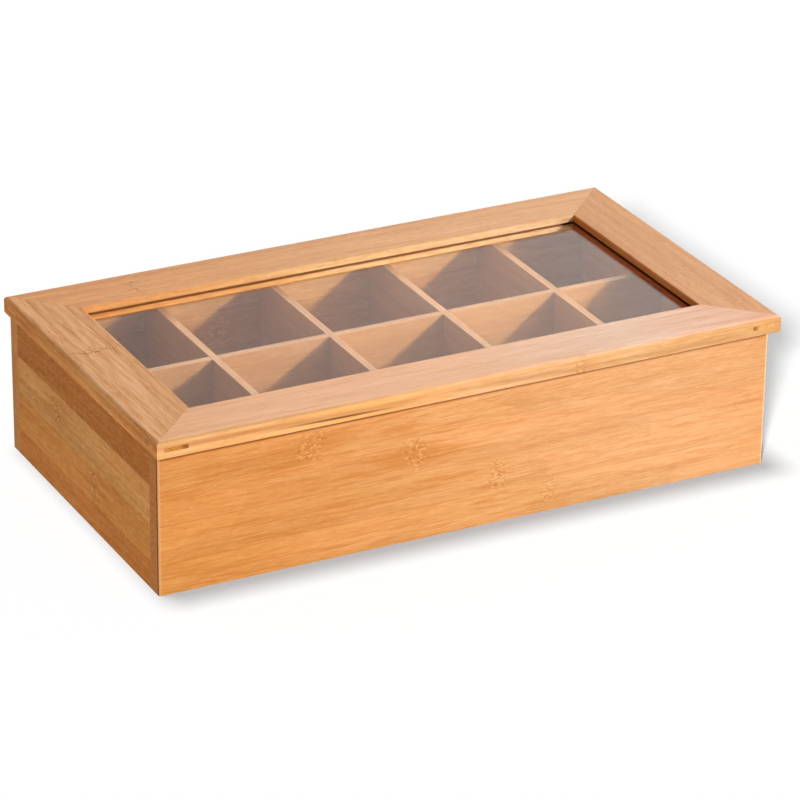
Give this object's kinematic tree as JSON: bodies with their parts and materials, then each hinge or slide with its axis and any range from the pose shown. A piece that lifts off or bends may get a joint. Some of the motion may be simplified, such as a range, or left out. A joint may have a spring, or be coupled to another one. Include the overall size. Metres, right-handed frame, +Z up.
{
  "type": "tea bag organizer box",
  "caption": "Low rectangular bamboo box with a hinged, framed, clear-window lid and interlocking dividers that form equal compartments for storing and sorting tea bags.",
  "frame": {"origin": "below the middle of the whole box, on the plane it stands on", "axes": "+X along the long side, to the right seen from the front; +Y to the back, where the hinges are; +Z up"},
  "size_m": [0.36, 0.2006, 0.0889],
  "materials": {
    "bamboo": "clear satin lacquer over laminated caramel bamboo",
    "thin_bamboo": "sanded bamboo board, clear satin lacquer",
    "dark_bamboo": "dark carbonised bamboo, flush sanded",
    "clear_acrylic": "clear, glossy",
    "hinge_brass": "satin, lightly worn",
    "pin_steel": "bright drawn wire",
    "screw_steel": "satin"
  },
  "bodies": {
    "box": {"front_wall": "bamboo", "back_wall": "bamboo", "left_wall": "bamboo", "right_wall": "bamboo", "bottom_panel": "thin_bamboo", "long_divider": "thin_bamboo", "cross_divider_1": "thin_bamboo", "cross_divider_2": "thin_bamboo", "cross_divider_3": "thin_bamboo", "cross_divider_4": "thin_bamboo", "left_hinge_wall_leaf": "hinge_brass", "left_hinge_pin": "pin_steel", "left_hinge_wall_screws": "screw_steel", "right_hinge_wall_leaf": "hinge_brass", "right_hinge_pin": "pin_steel", "right_hinge_wall_screws": "screw_steel"},
    "lid": {"lid_front_rail": "bamboo", "lid_back_rail": "bamboo", "lid_left_stile": "bamboo", "lid_right_stile": "bamboo", "window_pane": "clear_acrylic", "corner_key_front_left": "dark_bamboo", "corner_key_front_right": "dark_bamboo", "corner_key_back_left": "dark_bamboo", "corner_key_back_right": "dark_bamboo", "left_hinge_lid_leaf": "hinge_brass", "left_hinge_lid_screws": "screw_steel", "right_hinge_lid_leaf": "hinge_brass", "right_hinge_lid_screws": "screw_steel"}
  },
  "joints": [
    {"name": "lid_hinge", "type": "hinge", "parent": "box", "child": "lid", "pos_m": [0, 0.0987, 0.0795], "axis": [-1, 0, 0], "range_deg": [0, 98]}
  ]
}
